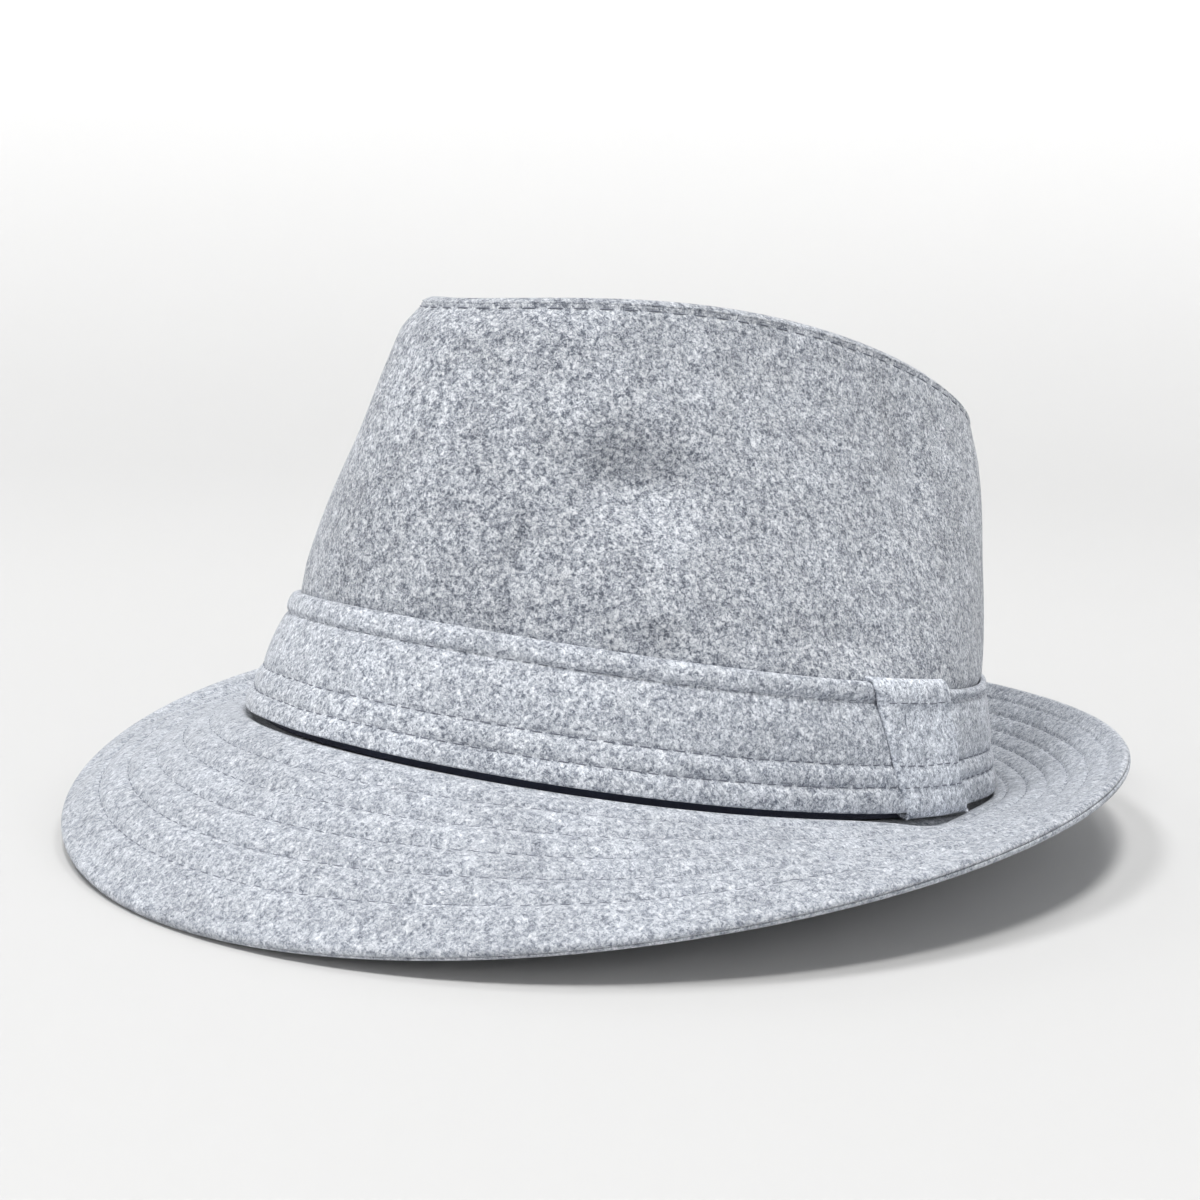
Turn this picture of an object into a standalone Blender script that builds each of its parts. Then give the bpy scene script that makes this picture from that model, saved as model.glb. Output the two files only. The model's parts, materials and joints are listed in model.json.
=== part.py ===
"""Soft wool fedora, trilby shape, as an assembly of cut and sewn cloth pieces.

Each piece is laid out in the hat's own frame: -Y is the front, +X the wearer's left, +Z up,
and z = 0 is the plane of the hatband's lower edge. Angles run from the front (0) round the
wearer's left (a quarter turn) to the back (half a turn). The whole hat then leans back on an
empty, so that it rests on its front brim and on the back of the crown's foot.
"""
import math

import bpy
import numpy as np

# Sampling of the sheets
RING_STEPS = 60
LINING_STEPS = 36
TAB_STEPS = 6

# Cloth thicknesses and the clearance kept between neighbours
GAP = 0.0003
WOOL = 0.0016
CROWN_STIFFENER = 0.0006
BRIM_WOOL = 0.0010
BRIM_STIFFENER = 0.0005
BAND_CLOTH = 0.0018
TAB_CLOTH = 0.0014
SWEATBAND_CLOTH = 0.0008
TAPE_CLOTH = 0.0006
LINING_CLOTH = 0.0004
THREAD_RADIUS = 0.00025

# Hatband: lower and upper outline, both nearly elliptical
BAND_FOOT_HALF_LENGTH = 0.1060
BAND_FOOT_HALF_WIDTH = 0.0945
BAND_TOP_HALF_LENGTH = 0.0960
BAND_TOP_HALF_WIDTH = 0.0885
BAND_TOP_SHIFT = 0.0019
BAND_TOP_HEIGHT = 0.0288
SADDLE = 0.0015
BAND_PROFILE = ((0.0, 0.0), (0.42, 0.0005), (0.84, 0.0), (0.92, 0.0011), (1.0, 0.0))

# Crown: the foot hidden behind the band, the ridge where the sides meet the tip
FOOT_HALF_LENGTH = 0.1010
FOOT_HALF_WIDTH = 0.0895
FOOT_CLEARANCE = 0.0013
NECK_HALF_LENGTH = 0.0936
NECK_HALF_WIDTH = 0.0861
RIDGE_HALF_LENGTH = 0.0892
RIDGE_SHIFT = 0.0085
RIDGE_HALF_WIDTH = 0.0530
RIDGE_FRONT_PINCH = 0.23
RIDGE_END_FULLNESS = 0.28
RIDGE_HEIGHTS = (0.1011, 0.0088, -0.0063)
WALL_BULGES = (0.0022, -0.0016, 0.0026)
WALL_SHARES = (-1.0, 0.0, 0.25, 0.5, 0.75, 1.0)
BACK_SEAM_ANGLE = 0.004
PINCH_ANGLE = math.radians(45)
PINCH_SPREAD = math.radians(14)
PINCH_SHARE = 0.58
PINCH_SHARE_SPREAD = 0.22
PINCH_DEPTH = 0.0035

# Tip: the crease runs lengthwise below the ridge
CREASE_SHIFT = 0.0080
CREASE_HALF_LENGTH = 0.0450
CREASE_HALF_WIDTH = 0.0030
CREASE_HEIGHT = 0.0850
TIP_RISES = (0.0050, -0.0025, 0.0005)
TIP_SHARES = (0.0, 0.18, 0.42, 0.70, 0.92)
TIP_STIFFENER_START = 0.40
TIP_STIFFENER_SLACK = 0.0003

# Brim: snapped down at the front, turned up at the back
BRIM_LEVEL = -0.0034
BRIM_TUCK = 0.0062
BRIM_WIDTHS = (0.0350, 0.0092, -0.0017)
BRIM_HEIGHTS = (-0.0020, -0.0273, -0.0073)
BRIM_LIFT_SHARE = 0.35
BRIM_SHARES = (1.0, 0.6, 0.2)
BRIM_STIFFENER_INSET = 0.08
BRIM_SPIRAL_START = 0.88
BRIM_SPIRAL_END = 0.10
BRIM_SPIRAL_TURNS = 5

# Inner pieces
SWEATBAND_DEPTH = WOOL + CROWN_STIFFENER + 2 * GAP
SWEATBAND_SHARES = (-1.04, 0.0)
TAPE_SHARES = (-1.03, -0.72)
LINING_DEPTH = 0.0042
LINING_SHARES = (0.04, 0.36, 0.68, 0.94)
LINING_TIP_DEPTH = 0.0052
LINING_TIP_SHARES = (0.13, 0.42, 0.70, 0.92)

# Stitch rows
TIP_STITCH_ROW = 4.92
BAND_STITCH_ROWS = {"hatband_stitch_lower": 0.43, "hatband_stitch_upper": 0.84,
                    "hatband_stitch_hem": 2.0}

# Tab over the hatband's join: share of the band's height, distance outside the band
TAB_ANGLE = math.radians(91.5)
TAB_HALF_WIDTH = 0.0145
TAB_CLEARANCE = math.radians(0.6)
TAB_PATH = ((0.16, -0.0038), (0.0, -0.0039), (-0.062, -0.0036), (-0.076, -0.0016),
            (-0.055, 0.0010), (0.0, 0.0022), (0.42, 0.0024), (0.84, 0.0025), (0.92, 0.0030),
            (1.01, 0.0029))

# How the whole hat rests
LEAN_BACK = math.radians(7.49)
REST_SHIFT = (0.0, 0.00923, 0.01796)

WOOL_GREY = (0.30, 0.33, 0.39)
STIFFENER_WHITE = (0.75, 0.74, 0.70)
LINING_GREY = (0.10, 0.11, 0.14)
SWEATBAND_BLACK = (0.03, 0.03, 0.035)
THREAD_SLATE = (0.07, 0.08, 0.11)


def cosine_sum(angle, terms):
    """Sum of terms[k] * cos(k * angle)."""
    return sum(term * np.cos(order * angle) for order, term in enumerate(terms))


def ellipse_ring(angle, half_length, half_width, shift, height):
    """Points of a lengthwise ellipse at the given angles."""
    return np.stack([half_width * np.sin(angle), shift - half_length * np.cos(angle),
                     np.broadcast_to(height, angle.shape)], axis=1)


def outward(angle):
    """Horizontal unit vectors square to the hatband's lower outline."""
    across = BAND_FOOT_HALF_LENGTH * np.sin(angle)
    along = -BAND_FOOT_HALF_WIDTH * np.cos(angle)
    size = np.hypot(across, along)
    return np.stack([across / size, along / size, np.zeros_like(angle)], axis=1)


def blend(first, second, share):
    """Straight blend from the first ring to the second."""
    return first * (1.0 - share) + second * share


def pinch(angle, share):
    """Depth of the soft dent left by a hand at the front of the crown, wearer's left."""
    turn = (angle - PINCH_ANGLE + math.pi) % (2.0 * math.pi) - math.pi
    across = turn / PINCH_SPREAD
    up = (share - PINCH_SHARE) / PINCH_SHARE_SPREAD
    return PINCH_DEPTH * np.exp(-across ** 2 - up ** 2)


def ridge_ring(angle):
    """The crown's upper edge, narrow and pinched at the front."""
    cosine = np.cos(angle)
    fullness = 1.0 - RIDGE_FRONT_PINCH * cosine + RIDGE_END_FULLNESS * cosine ** 2
    return np.stack([RIDGE_HALF_WIDTH * np.sin(angle) * fullness,
                     RIDGE_SHIFT - RIDGE_HALF_LENGTH * cosine,
                     cosine_sum(angle, RIDGE_HEIGHTS)], axis=1)


def wall_ring(angle, share):
    """Outer face of the crown's side: share -1 at the foot, 0 at the neck, 1 at the ridge."""
    saddle = SADDLE * np.cos(2 * angle)
    neck = ellipse_ring(angle, NECK_HALF_LENGTH, NECK_HALF_WIDTH, BAND_TOP_SHIFT,
                        BAND_TOP_HEIGHT + saddle)
    if share <= 0.0:
        foot = ellipse_ring(angle, FOOT_HALF_LENGTH, FOOT_HALF_WIDTH, 0.0,
                            BRIM_LEVEL + FOOT_CLEARANCE + saddle)
        return blend(neck, foot, -share)
    top = ridge_ring(angle) - np.array([0.0, 0.0, WOOL + GAP])
    bulge = 4.0 * share * (1.0 - share) * cosine_sum(angle, WALL_BULGES) - pinch(angle, share)
    return blend(neck, top, share) + outward(angle) * bulge[:, None]


def wall_rows(angle):
    """Rows of the crown's side from the foot up to the ridge."""
    return np.array([wall_ring(angle, share) for share in WALL_SHARES])


def tip_ring(angle, share):
    """Top face of the tip: share 0 at the ridge, 1 at the crease."""
    ridge = ridge_ring(angle)
    crease = ellipse_ring(angle, CREASE_HALF_LENGTH, CREASE_HALF_WIDTH, CREASE_SHIFT,
                          CREASE_HEIGHT)
    ring = blend(ridge, crease, share)
    sink = share * share * (3.0 - 2.0 * share)
    rise = 4.0 * share * (1.0 - share) * cosine_sum(angle, TIP_RISES)
    ring[:, 2] = ridge[:, 2] * (1.0 - sink) + crease[:, 2] * sink + rise
    return ring


def tip_rows(angle):
    """Rows of the tip from the ridge inwards."""
    return np.array([tip_ring(angle, share) for share in TIP_SHARES])


def tip_stiffener_rows(angle):
    """The tip's rows again, started inside the seam."""
    rows = tip_rows(angle)
    rows[0] = blend(rows[0], rows[1], TIP_STIFFENER_START)
    return rows


def brim_ring(angle, share):
    """Top face of the brim: share 0 under the hatband's edge, 1 at the brim's edge."""
    ring = ellipse_ring(angle, BAND_FOOT_HALF_LENGTH, BAND_FOOT_HALF_WIDTH, 0.0,
                        SADDLE * np.cos(2 * angle) + BRIM_LEVEL)
    ring += outward(angle) * (cosine_sum(angle, BRIM_WIDTHS) * share)[:, None]
    climb = (1.0 - BRIM_LIFT_SHARE) * share + BRIM_LIFT_SHARE * share * share
    ring[:, 2] += (cosine_sum(angle, BRIM_HEIGHTS) - BRIM_LEVEL) * climb
    return ring


def brim_rows(angle):
    """Rows of the brim from its edge inwards to the seam under the crown."""
    rows = [brim_ring(angle, share) for share in BRIM_SHARES]
    rows.append(brim_ring(angle, 0.0) - outward(angle) * BRIM_TUCK)
    return np.array(rows)


def brim_stiffener_rows(angle):
    """The brim's rows again, stopped short of the turned edge."""
    rows = brim_rows(angle)
    rows[0] = blend(rows[0], rows[1], BRIM_STIFFENER_INSET)
    return rows


def band_ring(angle, share):
    """Outer face of the hatband before its cloth is puffed: share 0 below, 1 above."""
    saddle = SADDLE * np.cos(2 * angle)
    foot = ellipse_ring(angle, BAND_FOOT_HALF_LENGTH, BAND_FOOT_HALF_WIDTH, 0.0, saddle)
    top = ellipse_ring(angle, BAND_TOP_HALF_LENGTH, BAND_TOP_HALF_WIDTH, BAND_TOP_SHIFT,
                       BAND_TOP_HEIGHT + saddle)
    return blend(foot, top, share)


def band_rows(angle):
    """Rows of the hatband, puffed between the stitching and rolled at the hem."""
    return np.array([band_ring(angle, share) + outward(angle) * puff
                     for share, puff in BAND_PROFILE])


def tab_rows(angle):
    """Rows of the tab: up behind the band's foot, round its edge and over its face."""
    return np.array([band_ring(angle, share) + outward(angle) * distance
                     for share, distance in TAB_PATH])


def sweatband_rows(angle):
    return np.array([wall_ring(angle, share) for share in SWEATBAND_SHARES])


def tape_rows(angle):
    return np.array([wall_ring(angle, share) for share in TAPE_SHARES])


def lining_rows(angle):
    return np.array([wall_ring(angle, share) for share in LINING_SHARES])


def lining_tip_rows(angle):
    return np.array([tip_ring(angle, share) for share in LINING_TIP_SHARES])


def row_normals(surface, angle):
    """Unit normals of a surface given as rows of rings."""
    step = 0.01
    along = surface(angle + step) - surface(angle - step)
    across = np.gradient(surface(angle), axis=0)
    normal = np.cross(along, across)
    return normal / np.linalg.norm(normal, axis=2, keepdims=True)


def sunk_rows(surface, angle, depth):
    """Rows of a surface moved inwards along its normals."""
    return surface(angle) - row_normals(surface, angle) * depth


def full_turn(steps):
    return np.linspace(0.0, 2.0 * math.pi, steps, endpoint=False)


def seamed_turn(steps):
    """Angles of a strip whose two ends meet in a seam at the back."""
    return np.linspace(-math.pi + BACK_SEAM_ANGLE, math.pi - BACK_SEAM_ANGLE, steps + 1)


def sheet_faces(row_count, ring_count, closed):
    """Quads of a grid of rows, joined into a ring when closed."""
    faces = []
    spans = ring_count if closed else ring_count - 1
    for row in range(row_count - 1):
        for here in range(spans):
            there = (here + 1) % ring_count
            low, high = row * ring_count, (row + 1) * ring_count
            faces.append((low + here, low + there, high + there, high + here))
    return faces


def crease_faces(first, ring_count):
    """Strip of faces closing the innermost ring across the crease."""
    half = ring_count // 2
    faces = [(first, first + 1, first + ring_count - 1)]
    for here in range(1, half - 1):
        faces.append((first + here, first + here + 1, first + ring_count - here - 1,
                      first + ring_count - here))
    faces.append((first + half - 1, first + half, first + half + 1))
    return faces


def make_material(name, colour, roughness):
    material = bpy.data.materials.new(name)
    material.use_nodes = True
    shader = material.node_tree.nodes["Principled BSDF"]
    shader.inputs["Base Color"].default_value = (*colour, 1.0)
    shader.inputs["Roughness"].default_value = roughness
    shader.inputs["Metallic"].default_value = 0.0
    return material


def place(hat, part, material):
    """Put a finished object in the hat's collection, on the leaning empty."""
    hat["collection"].objects.link(part)
    part.parent = hat["rest"]
    part.data.materials.append(hat["materials"][material])
    return part


def make_sheet(hat, name, rows, thickness, material, closed=True, creased=False):
    """A cloth piece: an open surface given its thickness inwards."""
    row_count, ring_count = rows.shape[:2]
    faces = sheet_faces(row_count, ring_count, closed)
    if creased:
        faces += crease_faces((row_count - 1) * ring_count, ring_count)
    mesh = bpy.data.meshes.new(name)
    mesh.from_pydata(rows.reshape(-1, 3).tolist(), [], faces)
    mesh.shade_smooth()
    part = place(hat, bpy.data.objects.new(name, mesh), material)
    solidify = part.modifiers.new("cloth", "SOLIDIFY")
    solidify.thickness = thickness
    solidify.offset = -1.0
    return part


def make_thread(hat, name, points, cyclic):
    """A sewing thread laid along the given points."""
    curve = bpy.data.curves.new(name, "CURVE")
    curve.dimensions = "3D"
    curve.bevel_depth = THREAD_RADIUS
    curve.bevel_resolution = 0
    curve.use_fill_caps = not cyclic
    spline = curve.splines.new("POLY")
    spline.points.add(len(points) - 1)
    for point, spot in zip(spline.points, points):
        point.co = (*spot, 1.0)
    spline.use_cyclic_u = cyclic
    return place(hat, bpy.data.objects.new(name, curve), "thread")


def row_between(rows, position):
    """A ring at a fractional row position."""
    index = min(int(position), len(rows) - 2)
    return blend(rows[index], rows[index + 1], position - index)


def thread_row(hat, name, surface, position):
    """A ring of stitching lying just off a surface."""
    lifted = sunk_rows(surface, full_turn(RING_STEPS), -(GAP + THREAD_RADIUS))
    make_thread(hat, name, row_between(lifted, position), True)


def band_thread_row(hat, name, position):
    """Stitching round the hatband, from one edge of the tab to the other."""
    angle = full_turn(RING_STEPS)
    lifted = sunk_rows(band_rows, angle, -(GAP + THREAD_RADIUS))
    after_tab = (angle - TAB_ANGLE) % (2.0 * math.pi)
    covered = TAB_HALF_WIDTH / BAND_FOOT_HALF_LENGTH + TAB_CLEARANCE
    kept = (after_tab > covered) & (after_tab < 2.0 * math.pi - covered)
    order = np.argsort(after_tab)
    order = order[kept[order]]
    make_thread(hat, name, row_between(lifted, position)[order], False)


def build_crown(hat):
    """The side strip and the tip in wool, with the stiffening fused behind them."""
    behind = WOOL + GAP
    angle = seamed_turn(RING_STEPS)
    make_sheet(hat, "crown_side", wall_rows(angle), WOOL, "wool", closed=False)
    make_sheet(hat, "crown_side_interlining", sunk_rows(wall_rows, angle, behind),
               CROWN_STIFFENER, "stiffener", closed=False)
    angle = full_turn(RING_STEPS)
    make_sheet(hat, "crown_tip", tip_rows(angle), WOOL, "wool", creased=True)
    make_sheet(hat, "crown_tip_interlining",
               sunk_rows(tip_stiffener_rows, angle, behind + TIP_STIFFENER_SLACK),
               CROWN_STIFFENER, "stiffener", creased=True)
    thread_row(hat, "crown_tip_topstitch", wall_rows, TIP_STITCH_ROW)


def build_lining(hat):
    """The loose lining bag: a side strip and a tip."""
    angle = seamed_turn(LINING_STEPS)
    make_sheet(hat, "lining_side", sunk_rows(lining_rows, angle, LINING_DEPTH), LINING_CLOTH,
               "lining", closed=False)
    angle = full_turn(LINING_STEPS)
    make_sheet(hat, "lining_tip", sunk_rows(lining_tip_rows, angle, LINING_TIP_DEPTH),
               LINING_CLOTH, "lining", creased=True)


def build_sweatband(hat):
    """The band that touches the head, and the tape over the seam at its lower edge."""
    angle = full_turn(RING_STEPS)
    make_sheet(hat, "sweatband", sunk_rows(sweatband_rows, angle, SWEATBAND_DEPTH),
               SWEATBAND_CLOTH, "sweatband")
    tape_depth = SWEATBAND_DEPTH + SWEATBAND_CLOTH + GAP
    make_sheet(hat, "sweatband_tape", sunk_rows(tape_rows, angle, tape_depth), TAPE_CLOTH,
               "sweatband")


def build_brim(hat):
    """Upper and lower wool with a stiffener between, quilted by one spiral of stitching."""
    angle = full_turn(RING_STEPS)
    stiffener_depth = BRIM_WOOL + GAP
    under_depth = stiffener_depth + BRIM_STIFFENER + GAP
    make_sheet(hat, "brim_top_cloth", brim_rows(angle), BRIM_WOOL, "wool")
    make_sheet(hat, "brim_interlining", sunk_rows(brim_stiffener_rows, angle, stiffener_depth),
               BRIM_STIFFENER, "stiffener")
    make_sheet(hat, "brim_under_cloth", sunk_rows(brim_rows, angle, under_depth), BRIM_WOOL,
               "wool")
    make_thread(hat, "brim_stitching", spiral_points(), False)


def spiral_points():
    """Points of the brim's stitching, wound from the edge inwards."""
    lifted = sunk_rows(brim_rows, full_turn(RING_STEPS), -(GAP + THREAD_RADIUS))
    shares = BRIM_SHARES + (0.0,)
    count = BRIM_SPIRAL_TURNS * RING_STEPS
    points = []
    for step in range(count + 1):
        share = BRIM_SPIRAL_START + (BRIM_SPIRAL_END - BRIM_SPIRAL_START) * step / count
        position = np.interp(-share, [-value for value in shares], range(len(shares)))
        points.append(row_between(lifted, position)[step % RING_STEPS])
    return points


def build_hatband(hat):
    """The self-fabric band, its three stitch rows and the tab over its join."""
    angle = full_turn(RING_STEPS)
    make_sheet(hat, "hatband", band_rows(angle), BAND_CLOTH, "wool")
    for name, position in BAND_STITCH_ROWS.items():
        band_thread_row(hat, name, position)
    reach = TAB_HALF_WIDTH / BAND_FOOT_HALF_LENGTH
    tab_angle = np.linspace(TAB_ANGLE - reach, TAB_ANGLE + reach, TAB_STEPS + 1)
    make_sheet(hat, "hatband_tab", tab_rows(tab_angle), TAB_CLOTH, "wool", closed=False)


def clear_scene():
    for leftover in list(bpy.data.objects):
        bpy.data.objects.remove(leftover)


def start_hat():
    """The collection, the leaning empty and the materials shared by all pieces."""
    collection = bpy.data.collections.new("wool_fedora")
    bpy.context.scene.collection.children.link(collection)
    rest = bpy.data.objects.new("hat_rest", None)
    rest.rotation_euler = (-LEAN_BACK, 0.0, 0.0)
    rest.location = REST_SHIFT
    collection.objects.link(rest)
    materials = {
        "wool": make_material("grey_wool", WOOL_GREY, 0.95),
        "stiffener": make_material("stiffener_cloth", STIFFENER_WHITE, 0.9),
        "lining": make_material("lining_satin", LINING_GREY, 0.4),
        "sweatband": make_material("sweatband_cotton", SWEATBAND_BLACK, 0.8),
        "thread": make_material("sewing_thread", THREAD_SLATE, 0.6),
    }
    return {"collection": collection, "rest": rest, "materials": materials}


def build():
    clear_scene()
    hat = start_hat()
    build_crown(hat)
    build_lining(hat)
    build_sweatband(hat)
    build_brim(hat)
    build_hatband(hat)


build()
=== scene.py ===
"""Looks of the soft wool fedora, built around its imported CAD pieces.

Every surface is a function of the angle round the hat (0 at the front, a quarter turn at the
wearer's left) and a share that runs across the piece. Lengths are metres in the hat's own
frame, which leans back as the record's head_opening mount says. A group of three terms, such
as BRIM_WIDTHS, is a mean and its waves of one and two periods round the hat.
"""
import json
import math

import bpy
import numpy as np
from mathutils import Matrix, Vector


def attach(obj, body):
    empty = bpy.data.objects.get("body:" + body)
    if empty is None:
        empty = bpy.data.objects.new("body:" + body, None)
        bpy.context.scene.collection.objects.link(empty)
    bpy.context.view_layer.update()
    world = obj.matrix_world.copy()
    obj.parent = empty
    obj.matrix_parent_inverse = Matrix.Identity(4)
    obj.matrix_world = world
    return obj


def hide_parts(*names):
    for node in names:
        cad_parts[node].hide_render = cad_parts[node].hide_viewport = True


MM = 0.001
TURN = 2.0 * math.pi

# Hatband: ovals of its lower and upper edge, and the slanting cloth between them
BAND_FOOT_HALF_LENGTH = 0.1060
BAND_FOOT_HALF_WIDTH = 0.0945
BAND_TOP_HALF_LENGTH = 0.0960
BAND_TOP_HALF_WIDTH = 0.0885
BAND_TOP_SHIFT = 0.0019
BAND_TOP_HEIGHT = 0.0288
BAND_SLANT = 0.0300
BAND_THICKNESS = 0.0017
SADDLE = 0.0015
# Shares where its cloth turns over at the top, in front and behind
BAND_TOP_SHARES = (0.965, 0.905)
# Stitch rows: height at the hat's sides, and climb from there to the back
BAND_ROWS = {"lower": (5.4 * MM, 1.2 * MM), "upper": (10.6 * MM, 0.7 * MM),
             "hem": (25.6 * MM, 1.2 * MM)}
HEM_TOP = 31.0 * MM
# Relief of its cloth, in millimetres
BAND_PUFFS = (0.40, 0.40, 0.55)
BAND_ROLL = 0.80
BAND_ROW_SINK = 0.36
BAND_HEM_SINK = 0.55
BAND_WAVE = 0.30
BAND_PUCKERS = 150
TOP_FOLD_RISE = 1.05 * MM
FOOT_FOLD_DROP = 0.85 * MM

# Crown: ovals of its foot and of its neck at the band's top, its upper edge, and its relief
FOOT_HALF_LENGTH = 0.1010
FOOT_HALF_WIDTH = 0.0895
NECK_HALF_LENGTH = 0.0936
NECK_HALF_WIDTH = 0.0861
RIDGE_HALF_LENGTH = 0.0892
RIDGE_SHIFT = 0.0085
RIDGE_HALF_WIDTH = 0.0530
RIDGE_FRONT_PINCH = 0.23
RIDGE_END_FULLNESS = 0.28
RIDGE_HEIGHTS = (0.1011, 0.0088, -0.0063)
WALL_BULGES = (0.0022, -0.0016, 0.0026)
WALL_HEIGHT = 0.0790
FOOT_CLEARANCE = 0.0013
# Height in the hat's frame below which the crown's cloth is painted dark navy, painted shade for
# the recess under the band
CROWN_PAINTED_SHADE_TOP = 0.0040
WOOL_THICKNESS = 0.0014
SEAM_LEVEL = 0.0001
SEAM_STITCH_DROP = 0.0011
SEAM_SINK = 0.30 * MM
SEAM_PUCKERS = 75
BACK_SEAM_SINK = 0.8 * MM
BACK_SEAM_WIDTH = 1.3 * MM
SIDE_WAVE = 0.50 * MM
SIDE_FULLNESS = 0.6 * MM
OVER_BAND_BULGE = 1.45 * MM
FRONT_WEAR = 2.2 * MM
FRONT_WEAR_ANGLE = math.radians(-20.0)

# Tip, pressed in along a crease
CREASE_SHIFT = 0.0080
CREASE_HALF_LENGTH = 0.0450
CREASE_HALF_WIDTH = 0.0030
CREASE_HEIGHT = 0.0850
TIP_RISES = (0.0050, -0.0025, 0.0005)
TIP_EDGE_ROLL = 1.2 * MM
TIP_WAVE = 0.4 * MM

# Brim: its level under the band, the widths and heights of its edge, and its relief
BRIM_LEVEL = -0.0034
BRIM_TUCK = 0.0062
BRIM_WIDTHS = (0.0336, 0.0092, -0.0017)
BRIM_HEIGHTS = (-0.0020, -0.0273, -0.0073)
BRIM_LIFT_SHARE = 0.35
BRIM_SLANT = 0.0450
BRIM_THICKNESS = 0.0031
BRIM_CLOTH_THICKNESS = 0.9 * MM
BRIM_PUFF = 0.30 * MM
BRIM_ROW_SINK = 0.42 * MM
BRIM_PUCKERS = 190
BRIM_WAVE = 0.25 * MM
BRIM_SHOULDER = 1.4 * MM
BRIM_SEAM_SINK = 0.28 * MM
# Spiral of stitches: shares of the brim where it starts and ends, and its turns
SPIRAL_START = 0.88
SPIRAL_END = 0.10
SPIRAL_TURNS = 5

# Inner layers. The linings' and the sweatband's depths are millimetres behind the crown's outer
# face. The side lining's are where it is sewn, what is added where it hangs free, and its
# ripples; the tip lining's are where it lies and its ripples.
CLOTH_GAP = 0.25 * MM
STIFFENING_THICKNESS = 0.5 * MM
LINING_DEPTHS = (2.45, 2.2, 0.7)
TIP_LINING_DEPTHS = (5.2, 0.4)
SWEATBAND_DEPTH = 2.85
SWEATBAND_WAVE = 0.12
SWEATBAND_THICKNESS = 0.75 * MM
TAPE_DEPTH = 3.9 * MM
# The sweatband's stitch rows: share of it, and metres behind the crown's outer face
SWEATBAND_ROWS = {"sweatband_upper_stitches": (0.93, 3.62 * MM),
                  "sweatband_tape_stitches": (0.27, 4.42 * MM)}

# Stitches: pitch and length along the row
THREAD_RADIUS = 0.17 * MM
STITCH_SPOTS = 7
THREAD_SIDES = 6
SHORT_STITCH = (4.0 * MM, 3.2 * MM)
LONG_STITCH = (6.0 * MM, 4.1 * MM)

# Soft dents pressed in the crown's side: angle and its spread in degrees, share and its
# spread, depth
CROWN_DENTS = (
    (42.5, 10.5, 0.47, 0.115, 7.2 * MM),
    (50.0, 8.0, 0.76, 0.16, 1.5 * MM),
    (47.0, 10.0, 0.13, 0.12, -2.0 * MM),
    (25.5, 2.6, 0.23, 0.09, 1.9 * MM),
    (33.5, 2.2, 0.22, 0.12, 1.2 * MM),
    (37.5, 2.4, 0.14, 0.12, 0.8 * MM),
    (99.0, 5.0, 0.66, 0.22, 2.3 * MM),
    (76.0, 16.0, 0.05, 0.08, 1.3 * MM),
    (-28.0, 9.0, 0.60, 0.20, 1.2 * MM),
    (10.0, 7.0, 0.70, 0.20, 0.9 * MM),
    (-100.0, 9.0, 0.55, 0.25, 1.2 * MM),
    (-150.0, 8.0, 0.50, 0.25, 1.0 * MM),
    (150.0, 10.0, 0.45, 0.22, 1.0 * MM),
)

# Tab over the band's join. Its path is (share of the band, stand off the band's smooth face):
# down behind the band's foot, round below it, up the outer face and over the top.
TAB_ANGLE = math.radians(91.5)
TAB_LEAN = (math.radians(2.5), math.radians(-6.7))
TAB_HALF_WIDTH_TOP = 0.0160
TAB_HALF_WIDTH_FOOT = 0.0143
TAB_THICKNESS = 0.0009
TAB_PATH = ((0.16, -0.0038), (0.06, -0.0039), (-0.02, -0.0039), (-0.055, -0.0036),
            (-0.072, -0.0028), (-0.080, -0.0018), (-0.076, -0.0007), (-0.064, 0.0003),
            (-0.040, 0.0010), (0.0, 0.0014), (0.08, 0.0015), (0.165, 0.0012), (0.24, 0.0016),
            (0.365, 0.0013), (0.50, 0.0017), (0.70, 0.0017), (0.80, 0.0015), (0.86, 0.0020),
            (0.92, 0.0024), (0.98, 0.0023), (1.02, 0.0018), (1.04, 0.0010), (1.04, 0.0002))
TAB_FACE = TAB_PATH[9:22]
TAB_EDGE_SINK = 0.95 * MM
TAB_WAVE = 0.15 * MM

# Floor: flat out to a radius, then swept up in a quarter circle
FLOOR_RADIUS = 0.9
SWEEP_RADIUS = 1.8
FLOOR_DROP = 0.6 * MM
FLOOR_STEPS = 96

# Colours
# Painted shade: the dark navy of the crown's foot in the recess under the band
PAINTED_SHADE_NAVY = (0.050, 0.057, 0.092)
WOOL_COLOURS = ((0.34, (0.098, 0.110, 0.140)),
                (0.43, (0.228, 0.247, 0.285)),
                (0.50, (0.362, 0.385, 0.428)),
                (0.57, (0.508, 0.531, 0.573)),
                (0.66, (0.710, 0.730, 0.762)))
# Brings the mean of the wool's flecks to the middle of its colours
WOOL_BALANCE = 0.035

# Camera, in the hat's frame
CAMERA_AZIMUTH = math.radians(42.97)
CAMERA_ELEVATION = math.radians(3.15)
CAMERA_ROLL = math.radians(6.72)
CAMERA_DISTANCE = 0.480
CAMERA_TARGET = (0.0, -0.0172, 0.0356)
CAMERA_LENS = 54.95


def cosine_sum(angle, terms):
    """Sum of terms[k] * cos(k * angle)."""
    return sum(term * np.cos(order * angle) for order, term in enumerate(terms))


def spread(low, high, share):
    """0 below low, 1 above high, and a smooth step between."""
    x = np.clip((share - low) / (high - low), 0.0, 1.0)
    return x * x * (3.0 - 2.0 * x)


def hump(share, low, high):
    """A rounded hump between low and high, 1 at its middle."""
    return np.sin(math.pi * np.clip((share - low) / (high - low), 0.0, 1.0))


def groove(distance, width):
    """1 on the line and fading to nothing a few widths away."""
    return np.exp(-(distance / width) ** 2)


def turn_gap(angle, centre):
    """Signed angle from centre, within half a turn."""
    return (angle - centre + math.pi) % TURN - math.pi


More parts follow.
